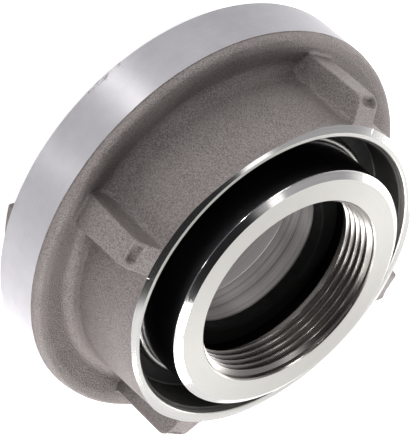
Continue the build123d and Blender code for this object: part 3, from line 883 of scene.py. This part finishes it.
# %% Slide ring
SLIDE_IN_R = STUB_R + 1.7
SLIDE_OUT_R = HUB_BORE_R - 0.02         # a hair inside the bore, so that no faces coincide
SLIDE_WALL_R = HUB_BORE_R - 1.0
SLIDE_FLOOR = SHOULDER_TOP + 2.2
slide_corners = [
    (SLIDE_IN_R, SHOULDER_TOP, 0.2),
    (SLIDE_OUT_R, SHOULDER_TOP, 0.2),
    (SLIDE_OUT_R, SLIDE_TOP, 0.15),
    (SLIDE_WALL_R, SLIDE_TOP, 0.3),
    (SLIDE_WALL_R, SLIDE_FLOOR, 0.6),
    (SLIDE_IN_R, SLIDE_FLOOR, 0.3),
]
slide = turn("slide_ring_plastic", slide_corners, SLIDE_PLASTIC)
smooth(slide)
place_piece(slide, "claw_ring", "slide_plastic", "slide_ring")

# %% [markdown]
# The wire ring is a length of round spring wire, bent to a circle and snapped into the stub's
# groove. It has to open to get there, so its ends don't meet. A torus would be quicker, but it
# can't be open. A small circle swept along an arc can, and the same tree does it. The opening is
# turned to the side that the camera doesn't see.

# %% Wire ring
WIRE_OPENING, WIRE_OPENING_AT = 14.0, 262.0     # degrees
WIRE_CENTRE_R = WIRE_R - WIRE_HALF
ROUND_STEPS = 28
wire_corners = [
    (WIRE_CENTRE_R + WIRE_HALF * math.cos(angle), WIRE_MIDDLE - WIRE_HALF * math.sin(angle), 0)
    for angle in np.linspace(0, 2 * math.pi, ROUND_STEPS, endpoint=False)
]
wire = turn("wire_ring", wire_corners, SPRING_WIRE, 240, 1,
            WIRE_OPENING_AT + WIRE_OPENING / 2, 360 - WIRE_OPENING)
smooth(wire, 50.0)
place_piece(wire, "stub", "spring_wire", "snap_ring")

# %% [markdown]
# The claw ring is a casting, and castings have no sharp inside corners: the ribs flow into the
# barrel and the back with hollow roundings. Joining a block to a barrel would leave sharp seams, so
# the ring is made as one net instead. Its rows follow the outline from the shoulder round the
# front, up the rim, over the back and up the barrel. Its columns stand round the axis, and lie
# closer together at the ribs. Two outlines are drawn, one beside a rib and one along a rib's
# middle, and each column mixes the two by its place in the rib's own rounded section.

# %% Sizes of the claw ring
BAND_END = 27.4             # top of the turned band on the rim
CAST_R = RING_R - 0.25      # the cast skin above it stands in by this step
BACK_EDGE = 30.2            # height of the back's raised outer edge
BACK_LAND_R = 59.55         # its inner edge, where the dish begins
BACK = 28.5                 # height of the dished back beside the barrel's foot
FOOT_R, FOOT_TOP = 51.6, 32.4       # the barrel's foot flares out to this, up to this height
BARREL_R, BARREL_END_R = 50.3, 49.8
HUB_LAND_R = 47.7           # outer edge of the flat end face
BARREL_END = HUB_END - 0.7  # the bevel's outer edge
HUB_EDGE = 0.25             # small chamfer at the mouth of the hub's bore
SHOULDER_R = 39.35          # bore of the shoulder that the stub runs in
CLAW_IN_R = 44.5            # inner faces of the claws and of the ring's front
print("the back is dished by", round(BACK_EDGE - BACK, 2), "mm")

# %% Sizes of the ribs
RIB_COUNT = 4
RIB_R = 57.4
RIB_SLOPE = math.tan(math.radians(20.0))        # the free end falls away outwards at this slope
RIB_POINT = BARREL_END - (RIB_R - BARREL_END_R) * RIB_SLOPE     # where that meets the rib's top
RIB_BASE, RIB_TIP = 5.45, 4.85      # half widths at the barrel and on top
RIB_TAPER = 0.8                     # each side comes in by this towards the free end
RIB_NOSE = 3.7                      # rounding of the free end
RIB_EDGE = 0.6                      # rounding along the top
RIB_ROOT = 1.5                      # hollow rounding at the barrel
print("the ribs stand out by", round(RIB_R - BARREL_R, 2), "mm")


# %% Outlines with rounded corners
def rounded(corners, steps=6):
    """Points of a polyline whose corners (x, y, rounding) are replaced by arcs."""
    points = [np.array(corners[0][:2], float)]
    for before, corner, after in zip(corners, corners[1:], corners[2:]):
        here = np.array(corner[:2], float)
        back_leg = np.array(before[:2]) - here
        front_leg = np.array(after[:2]) - here
        back_way = back_leg / np.linalg.norm(back_leg)
        front_way = front_leg / np.linalg.norm(front_leg)
        half = math.acos(max(-1.0, min(1.0, float(back_way @ front_way)))) / 2
        if corner[2] == 0 or half > 1.55:       # no rounding, or hardly a corner
            points.append(here)
            continue
        reach = corner[2] / math.tan(half)
        centre = here + (back_way + front_way) / np.linalg.norm(back_way + front_way) * (
            corner[2] / math.sin(half))
        first, last = here + back_way * reach - centre, here + front_way * reach - centre
        sweep = math.pi - 2 * half
        for step in range(steps + 1):
            share = step / steps
            blend = (math.sin((1 - share) * sweep) * first + math.sin(share * sweep) * last)
            points.append(centre + blend / math.sin(sweep))
    points.append(np.array(corners[-1][:2], float))
    return np.array(points)


def spaced(points, count):
    """The same line with count evenly spaced points."""
    lengths = np.concatenate([[0], np.cumsum(np.linalg.norm(np.diff(points, axis=0), axis=1))])
    marks = np.linspace(0, lengths[-1], count)
    return np.stack([np.interp(marks, lengths, points[:, k]) for k in (0, 1)], 1)


# %% Rows of the claw ring
def dish(radius):
    """Height of the dished back at a radius."""
    return BACK + (BACK_EDGE - BACK) * (radius - FOOT_R) / (BACK_LAND_R - FOOT_R)


def barrel(height):
    """Radius of the cast barrel at a height."""
    share = (height - FOOT_TOP) / (BARREL_END - FOOT_TOP)
    return BARREL_R + (BARREL_END_R - BARREL_R) * share


def free_end(radius):
    """Height of a rib's sloping free end at a radius."""
    return BARREL_END - (radius - BARREL_END_R) * RIB_SLOPE


LAND_R = BACK_LAND_R + 1.0
SEAM_HEIGHT = SHOULDER + 4.0        # on the shoulder's inner wall, where the outline closes
front_rows = rounded([
    (SHOULDER_R, SEAM_HEIGHT, 0),
    (SHOULDER_R, SHOULDER, 0.3),
    (CLAW_IN_R, SHOULDER, 0.5),
    (CLAW_IN_R, FACE, 0.35),
    (RING_R, FACE, 0.5),
    (RING_R, BAND_END, 0.08),
    (CAST_R, BAND_END + 0.2, 0.1),
    (CAST_R, BACK_EDGE, 1.6),
    (LAND_R, BACK_EDGE, 0),
], 5)
SKIN_END = BARREL_END - 0.2         # the cast skin's rows stop here, short of the bevel
SKIN_TURN = SKIN_END - 0.6          # and run close together from here
BEVEL_END_R = BARREL_END_R + 0.1    # on a rib, the bevel ends here
RIB_SKIN_R = BEVEL_END_R + 0.25     # and the cast skin's rows there
# Both outlines are split at the same five places, so that their rows can be mixed one by one.
FOOT_SPLIT_R, RIB_FOOT_SPLIT_R = 54.0, 58.9
SPLIT_LOW = FOOT_TOP + 1.6
SPLIT_HIGH = RIB_POINT - RIB_NOSE * math.tan(math.radians(35.0))
END_SPLIT_R = 51.6
plain_parts = [
    [(LAND_R, BACK_EDGE, 0), (BACK_LAND_R, BACK_EDGE, 3.0), (FOOT_SPLIT_R, dish(FOOT_SPLIT_R), 0)],
    [(FOOT_SPLIT_R, dish(FOOT_SPLIT_R), 0), (FOOT_R, BACK, 3.0), (BARREL_R, FOOT_TOP, 0.3),
     (barrel(SPLIT_LOW), SPLIT_LOW, 0)],
    [(barrel(SPLIT_LOW), SPLIT_LOW, 0), (barrel(SPLIT_HIGH), SPLIT_HIGH, 0)],
    [(barrel(SPLIT_HIGH), SPLIT_HIGH, 0), (barrel(SKIN_END), SKIN_TURN, 0)],
    [(barrel(SKIN_END), SKIN_TURN, 0), (BARREL_END_R, SKIN_END, 0)],
]
rib_parts = [
    [(LAND_R, BACK_EDGE, 0), (BACK_LAND_R, BACK_EDGE, 3.0),
     (RIB_FOOT_SPLIT_R, dish(RIB_FOOT_SPLIT_R), 0)],
    [(RIB_FOOT_SPLIT_R, dish(RIB_FOOT_SPLIT_R), 0), (RIB_R, dish(RIB_R), 0.9),
     (RIB_R, SPLIT_LOW, 0)],
    [(RIB_R, SPLIT_LOW, 0), (RIB_R, SPLIT_HIGH, 0)],
    [(RIB_R, SPLIT_HIGH, 0), (RIB_R, RIB_POINT, RIB_NOSE - 0.01),
     (END_SPLIT_R, free_end(END_SPLIT_R), 0)],
    [(END_SPLIT_R, free_end(END_SPLIT_R), 0), (RIB_SKIN_R, free_end(RIB_SKIN_R), 0)],
]
PART_COUNTS = [16, 30, 52, 40, 6]   # points in each part, closest where the outlines bend


def joined(parts):
    """One run of points from several, without the repeated ends."""
    runs = [spaced(rounded(part, 8), count) for part, count in zip(parts, PART_COUNTS)]
    return np.concatenate([runs[0]] + [run[1:] for run in runs[1:]])


plain_rows, rib_rows = joined(plain_parts), joined(rib_parts)
on_top = np.clip((rib_rows[:, 1] - dish(RIB_R)) / 1.5, 0, 1)     # 1 where a rib's top is flat
along_rib = np.gradient(rib_rows, axis=0)
along_rib /= np.linalg.norm(along_rib, axis=1)[:, None]
rib_normals = np.stack([along_rib[:, 1], -along_rib[:, 0]], 1)
rib_run = np.concatenate([[0], np.cumsum(np.linalg.norm(np.diff(rib_rows, axis=0), axis=1))])
print("rows over the back and barrel:", len(plain_rows))

# %% [markdown]
# A lathe has trimmed the hub's end after casting: a flat face, and a polished bevel down to the
# cast skin. In the photograph the bevel is widest at the ribs and narrower between them, so the
# cast barrel isn't quite round, and leans in there. The bevel stays one true cone, and its outer
# edge simply follows the skin down. A formula for the lean gives both, so they always meet.

# %% Turned end of the hub
LEAN = 0.95                 # the cast barrel leans in by this, halfway between two ribs
LEAN_NEAR, LEAN_FAR = 16.0, 38.0    # degrees from a rib, between which it sets in
LEAN_FROM = 45.0            # height where it begins to
LEAN_TO = BARREL_END + 1.5
BEVEL_SLOPE = (HUB_END - BARREL_END) / (BARREL_END_R - HUB_LAND_R)


def ease(value, low, high):
    """0 below low, 1 above high, and a smooth rise between."""
    share = min(max((value - low) / (high - low), 0.0), 1.0)
    return share * share * (3 - 2 * share)


def lean(angle, height):
    """How far the barrel's skin stands in at an angle and a height."""
    from_rib = abs((angle + 180 / RIB_COUNT) % (360 / RIB_COUNT) - 180 / RIB_COUNT)
    return LEAN * ease(from_rib, LEAN_NEAR, LEAN_FAR) * ease(height, LEAN_FROM, LEAN_TO)


def end_rows(angle, share=0.0):
    """Rows over the bevel and the flat end and down the bore. share is 1 on a rib."""
    bevel_r = BARREL_END_R - lean(angle, BARREL_END) + share * (BEVEL_END_R - BARREL_END_R)
    bevel_z = HUB_END - (bevel_r - HUB_LAND_R) * BEVEL_SLOPE
    skin_r = BARREL_END_R - lean(angle, SKIN_END) + share * (RIB_SKIN_R - BARREL_END_R)
    skin_z = SKIN_END + share * (free_end(RIB_SKIN_R) - SKIN_END)
    return rounded([
        (skin_r, skin_z, 0),
        (bevel_r, bevel_z, 0),
        (HUB_LAND_R, HUB_END, 0.25),
        (HUB_BORE_R + HUB_EDGE, HUB_END, 0.1),
        (HUB_BORE_R, HUB_END - HUB_EDGE, 0.1),
        (HUB_BORE_R, SHOULDER_TOP, 0.2),
        (SHOULDER_R, SHOULDER_TOP, 0.3),
        (SHOULDER_R, SEAM_HEIGHT, 0),
    ], 4)


print("the bevel slopes at", round(math.degrees(math.atan(BEVEL_SLOPE)), 1), "degrees")

# %% [markdown]
# A rib's section across is a low block with rounded edges and hollow roots. Its points give the
# columns their places, and the height of each, from 0 on the barrel to 1 on top of the rib, says
# how much of the rib's outline the column takes. Between two ribs, even columns do.

# %% Columns of the claw ring
SEAM = 9.5                  # half width of the stretch that a rib shapes
SEAM_ANGLE_R = 52.0         # radius at which that width is turned into an angle
rib_height = RIB_R - BARREL_R
WALL_FROM, WALL_COLUMNS, TOP_COLUMNS = 0.55, 9, 17
side = rounded([
    (-SEAM, 0, 0),
    (-RIB_BASE, 0, RIB_ROOT),
    (-RIB_TIP, rib_height, RIB_EDGE),
    (0, rib_height, 0),
], 7)
wall_start = next(i for i in range(len(side)) if side[i, 1] > WALL_FROM)
wall_end = next(i for i in range(len(side)) if side[i, 1] > rib_height - RIB_EDGE)
foot = np.concatenate([spaced(side[:2], 3)[:-1], side[1:wall_start]])
wall = spaced(side[wall_start - 1:wall_end + 1], WALL_COLUMNS)[1:-1]
top = np.concatenate([side[wall_end:-2], spaced(side[-2:], TOP_COLUMNS)])
half_section = np.concatenate([foot, wall, top])
mirrored = half_section[-2::-1] * np.array([-1, 1])
section = np.concatenate([half_section, mirrored])
lateral, lift = section[:, 0], section[:, 1] / rib_height
edge_angle = math.degrees(math.asin(SEAM / SEAM_ANGLE_R))
GAP_COLUMNS = 35
gap = np.linspace(edge_angle, 360 / RIB_COUNT - edge_angle, GAP_COLUMNS + 2)[1:-1]
print("columns at a rib:", len(lateral), "and between two ribs:", len(gap))

# %% [markdown]
# Each rib has a small pocket in its nose, which a pin in the mould has left in the casting.
# It is too deep for a bump in the material, so the points of the net themselves are pressed in.
# A rounded oblong gives its depth, and a little noise makes its edge and floor ragged, as cast
# hollows are. The noise reads the rib's own place, so every pocket differs, and is the same in
# every run.

# %% Pocket in a rib's nose
POCKET_TILT = 48.0          # the pocket faces this much away from the axis's radius
POCKET_FROM, POCKET_TO = -3.4, 2.7      # its ends, across the rib
POCKET_WIDE, POCKET_NARROW = 2.05, 1.45     # its half widths at those ends
POCKET_DEPTH = 1.1
POCKET_ROUND = 1.1          # rounding of its corners and width of its sloping sides
tilts = np.degrees(np.arctan2(rib_normals[:, 1], rib_normals[:, 0]))
pocket_row = next(i for i, tilt in enumerate(tilts)
                  if tilt > POCKET_TILT and rib_rows[i, 1] > SPLIT_HIGH)


def pocket(y, run, seed):
    """Depth of the small cast pocket in a rib's nose, with a ragged edge and floor."""
    along = run - rib_run[pocket_row]
    ragged = 0.3 * noise.noise(Vector((y * 0.6, along * 0.6, seed)))
    share = (y - POCKET_FROM) / (POCKET_TO - POCKET_FROM)
    half = POCKET_WIDE + (POCKET_NARROW - POCKET_WIDE) * share
    past_end = max(POCKET_FROM + POCKET_ROUND - y, y - POCKET_TO + POCKET_ROUND, 0.0)
    past_side = max(abs(along) - half + POCKET_ROUND, 0.0)
    inside = POCKET_ROUND - math.hypot(past_end, past_side) + ragged
    floor_noise = 0.2 * noise.noise(Vector((y * 0.5, along * 0.5, seed + 5.0)))
    return (POCKET_DEPTH + floor_noise) * ease(inside, 0.0, POCKET_ROUND)


print("the pocket's middle is row", pocket_row)

# %% Points of the claw ring
PLAN_ROUND = 1.1            # length over which a rib's free end is rounded in plan
PLAN_PULL = 0.5             # and how far its sides come in there


def corner_pull(y, z):
    """How far a rib's side moves inwards: by its taper, and by its rounding in plan at the end."""
    near = min(max((z - (BARREL_END - PLAN_ROUND)) / PLAN_ROUND, 0.0), 1.0)
    taper = min(max((z - BACK) / (BARREL_END - BACK), 0.0), 1.0)
    pull = RIB_TAPER * taper + PLAN_PULL * (1 - math.sqrt(1 - near * near))
    fade = min(max((SEAM - abs(y)) / (SEAM - RIB_BASE), 0.0), 1.0)
    return math.copysign(pull * fade * min(abs(y) / RIB_TIP, 1.0), y)


def ring_points(rows, angle):
    """One column of plain turned rows at an angle in degrees."""
    turn_by = math.radians(angle)
    return [(r * math.cos(turn_by), r * math.sin(turn_by), z) for r, z in rows]


def back_points(y, share, rib_angle):
    """One column over the back and barrel, mixed between the plain outline and the rib's."""
    turn_by = math.radians(rib_angle)
    found = []
    for row, ((plain_r, plain_z), (rib_r, rib_z), flat) in enumerate(
            zip(plain_rows, rib_rows, on_top)):
        across = y - corner_pull(y, rib_z)
        plain_x = math.sqrt(plain_r ** 2 - across ** 2)
        rib_x = (1 - flat) * math.sqrt(rib_r ** 2 - across ** 2) + flat * rib_r
        x = (1 - share) * plain_x + share * rib_x
        z = (1 - share) * plain_z + share * rib_z
        if share > 0.99:
            pressed = pocket(across, rib_run[row], rib_angle)
            x -= pressed * rib_normals[row, 0]
            z -= pressed * rib_normals[row, 1]
        found.append((x * math.cos(turn_by) - across * math.sin(turn_by),
                      x * math.sin(turn_by) + across * math.cos(turn_by), z))
    return found


columns = []
for number in range(RIB_COUNT):
    rib_angle = number * 360 / RIB_COUNT
    for y, share in zip(lateral, lift):
        angle = rib_angle + math.degrees(math.asin(y / SEAM_ANGLE_R))
        columns.append(ring_points(front_rows, angle) + back_points(y, share, rib_angle)[1:-1]
                       + ring_points(end_rows(angle, share)[:-1], angle))
    for angle in gap + rib_angle:
        columns.append(ring_points(front_rows, angle) + ring_points(plain_rows[1:-1], angle)
                       + ring_points(end_rows(angle)[:-1], angle))
points = np.array(columns)
print("net of the claw ring:", points.shape)

# %% [markdown]
# A casting is never quite true. Its skin swells and sinks by a few hundredths of a millimetre, and
# a long highlight on it wavers. A Displace modifier could do that, but it would need a group of
# points picked by hand, to spare the turned faces. Here two smooth noises, one wide and one narrow,
# move the points that lie in the cast skin. The net is then made a mesh, closed both ways round.

# %% Cast skin
SWELL_WIDE, SWELL_NARROW = (0.05, 0.14), (0.022, 0.8)   # each a height in mm and waves per mm


def cast_skin(points):
    """Lean the barrel in between the ribs, and move the skin by a few hundredths all over."""
    for column in points:
        for point in column:
            radius = math.hypot(point[0], point[1])
            if radius > BARREL_END_R - 0.2 and BAND_END + 0.4 < point[2] < SKIN_END - 0.01:
                where = Vector(point)
                swell = sum(height * noise.noise(where * pace)
                            for height, pace in (SWELL_WIDE, SWELL_NARROW))
                outward = swell - lean(math.degrees(math.atan2(point[1], point[0])), point[2])
                point[0] += outward * point[0] / radius
                point[1] += outward * point[1] / radius
                point[2] += swell
    return points


def net_mesh(name, points):
    """Closed mesh of a net that is joined to itself both ways."""
    across, along = points.shape[:2]
    index = np.arange(across * along).reshape(across, along)
    right_of = np.roll(index, -1, axis=0)
    faces = np.stack([index, right_of, np.roll(right_of, -1, axis=1),
                      np.roll(index, -1, axis=1)], 2)
    mesh = bpy.data.meshes.new(name)
    mesh.from_pydata((points.reshape(-1, 3) * MM).tolist(), [], faces.reshape(-1, 4).tolist())
    piece = bpy.data.objects.new(name, mesh)
    bpy.context.scene.collection.objects.link(piece)
    face_outwards(piece)
    return piece


ring = net_mesh("claw_ring_casting", cast_skin(points))
print("faces of the ring before cutting:", len(ring.data.polygons))

# %% [markdown]
# The ring's front is opened by cutting. Beside each claw there is an entry for the other half's
# claw, then a slot for its stem, and behind the lip a channel for its hook. The lip gets thicker
# along the channel, and that wedge pulls two halves together as they are turned. The net could
# have these openings from the start, but then its rows would have to end and begin again at each.
# So they are cut out of the whole ring, with shapes that the stub's tree sweeps along arcs. Where
# two of them would share a side, the sides are set a little apart, because cutting with faces that
# coincide leaves slivers.

# %% Sizes of the bayonet
STEM_R, HOOK_R = 49.5, 54.0     # outer radii of a claw's stem and of its hook
HOOK_TOP = 5.0
LIP_IN_R = 50.3
GATE_R = 54.8                   # the entry, in the ring's face
CHANNEL_R = 58.4
LIP_BACK = 17.6                 # back of the lip at its thin end
LIP_RISE = 1.0                  # how much thicker the lip is at its far end
CHANNEL_TOP = 24.5
CHANNEL_ROUND = 1.0             # rounding of the channel's outer corner
CLAW_START, CLAW_SPAN = 109.0, 52.0     # degrees
ENTRY_START, ENTRY_SPAN = CLAW_START + CLAW_SPAN, 60.0
LIP_START, LIP_SPAN = ENTRY_START + ENTRY_SPAN, 68.0
CUT_IN_R = CLAW_IN_R - 1.0
CUT_LOW = FACE - 1.0
lip_ends = [round(LIP_BACK - FACE + rise, 2) for rise in (0, LIP_RISE)]
print("the lip's thickness at its two ends:", lip_ends, "mm")


# %% Cut and join
def combine(piece, other, operation):
    """Cut another shape from a piece or join it on, and drop the other shape."""
    step = piece.modifiers.new("combine", "BOOLEAN")
    step.object = other
    step.operation = operation
    step.solver = "MANIFOLD"
    ready = piece.evaluated_get(bpy.context.evaluated_depsgraph_get())
    mesh = bpy.data.meshes.new_from_object(ready)
    piece.modifiers.clear()
    piece.data = mesh
    bpy.data.objects.remove(other)


def arc_block(name, inner, outer, low, high, start, sweep, rounding=0.0):
    """Block between two radii and two heights along an arc."""
    corners = [(inner, low, 0), (outer, low, 0), (outer, high, rounding), (inner, high, 0)]
    return turn(name, corners, CASTING, 60, 4, start, sweep)


def wedge(block, start, sweep):
    """Lift the block's lower side by the lip's rise, more and more along the arc."""
    middle = (LIP_BACK + CHANNEL_TOP) / 2
    for vertex in block.data.vertices:
        if vertex.co.z / MM < middle:
            angle = math.degrees(math.atan2(vertex.co.y, vertex.co.x)) % 360
            vertex.co.z += LIP_RISE * MM * ((angle - start) % 360) / sweep


for half_turn in (0.0, 180.0):
    entry = (ENTRY_START + half_turn) % 360
    lip = (LIP_START + half_turn) % 360
    combine(ring, arc_block("entry_gate", CUT_IN_R, GATE_R, CUT_LOW, CHANNEL_TOP, entry,
                            ENTRY_SPAN), "DIFFERENCE")
    combine(ring, arc_block("entry_room", CUT_IN_R - 0.1, CHANNEL_R, LIP_BACK, CHANNEL_TOP + 0.01,
                            entry + 0.02, ENTRY_SPAN - 0.04, CHANNEL_ROUND), "DIFFERENCE")
    combine(ring, arc_block("lip_slot", CUT_IN_R - 0.2, LIP_IN_R, CUT_LOW - 0.1,
                            CHANNEL_TOP - 0.01, lip - 0.03, LIP_SPAN), "DIFFERENCE")
    channel = arc_block("lip_channel", CUT_IN_R - 0.3, CHANNEL_R - 0.01, LIP_BACK,
                        CHANNEL_TOP - 0.02, lip - 0.06, LIP_SPAN + 0.06, CHANNEL_ROUND)
    wedge(channel, lip - 0.06, LIP_SPAN + 0.06)
    combine(ring, channel, "DIFFERENCE")
print("faces after cutting:", len(ring.data.polygons))

# %% [markdown]
# The claws are short arcs of an L-shaped section: a stem, and a hook that points outwards. A
# straight block could be bent, but its length and the angle would then set its radii. A section
# swept along the arc keeps the radii that it is drawn with. A Bevel modifier breaks the corners at
# both ends, and the claws are joined on with their roots sunk into the ring.

# %% Claws
CLAW_CORNER = 0.8           # broken corners at a claw's two ends
claw_corners = [
    (CLAW_IN_R, TIPS, 0.6),
    (HOOK_R, TIPS, 1.3),
    (HOOK_R, HOOK_TOP, 0.5),
    (STEM_R, HOOK_TOP, 0.9),
    (STEM_R, LIP_BACK, 0),
    (CLAW_IN_R + 0.03, LIP_BACK, 0),
]
for half_turn in (0.0, 180.0):
    claw = turn("claw", claw_corners, CASTING, 48, 4, (CLAW_START + half_turn) % 360, CLAW_SPAN)
    soften = claw.modifiers.new("soften", "BEVEL")
    soften.width = CLAW_CORNER * MM
    soften.segments = 3
    soften.limit_method = "ANGLE"
    soften.angle_limit = math.radians(60)
    ready = claw.evaluated_get(bpy.context.evaluated_depsgraph_get())
    claw_mesh = bpy.data.meshes.new_from_object(ready)
    claw.modifiers.clear()
    claw.data = claw_mesh
    combine(ring, claw, "UNION")
print("faces with the claws:", len(ring.data.polygons))

# %% [markdown]
# One casting, four finishes. The rim and the front face were turned with a fine feed, the hub's
# end and bores were cut bright, the bevel was polished, and the rest kept its blasted skin. A mask
# painted by hand would do, but its border would wander. A rule on each face's place and direction
# picks the finish, so the border lies exactly on the edge that the tool has cut.


# %% Finish of the claw ring
def ring_finish(radius, height, outward, upward):
    """Finish of a face of the claw ring, by where it lies and which way it faces."""
    if radius > RING_R - 0.6 and height < BAND_END + 0.05:
        return RIM
    if FACE - 0.2 < height < FACE + 0.6 and upward < -0.2:
        return RIM
    if upward > 0.5 and height > SKIN_END - 0.2 and HUB_LAND_R - 0.1 < radius < BEVEL_END_R + 0.03:
        return POLISHED
    if height > HUB_END - 0.05 or radius < HUB_BORE_R + 0.3 and height > SHOULDER - 0.1:
        return BRIGHT
    if radius < CLAW_IN_R + 0.1 and height > FACE and outward < -0.5:
        return BRIGHT
    return CASTING


smooth(ring, 30.0)
paint(ring, [CASTING, RIM, BRIGHT, POLISHED], ring_finish)
place_piece(ring, "claw_ring", "cast_ring", "coupling_ring")
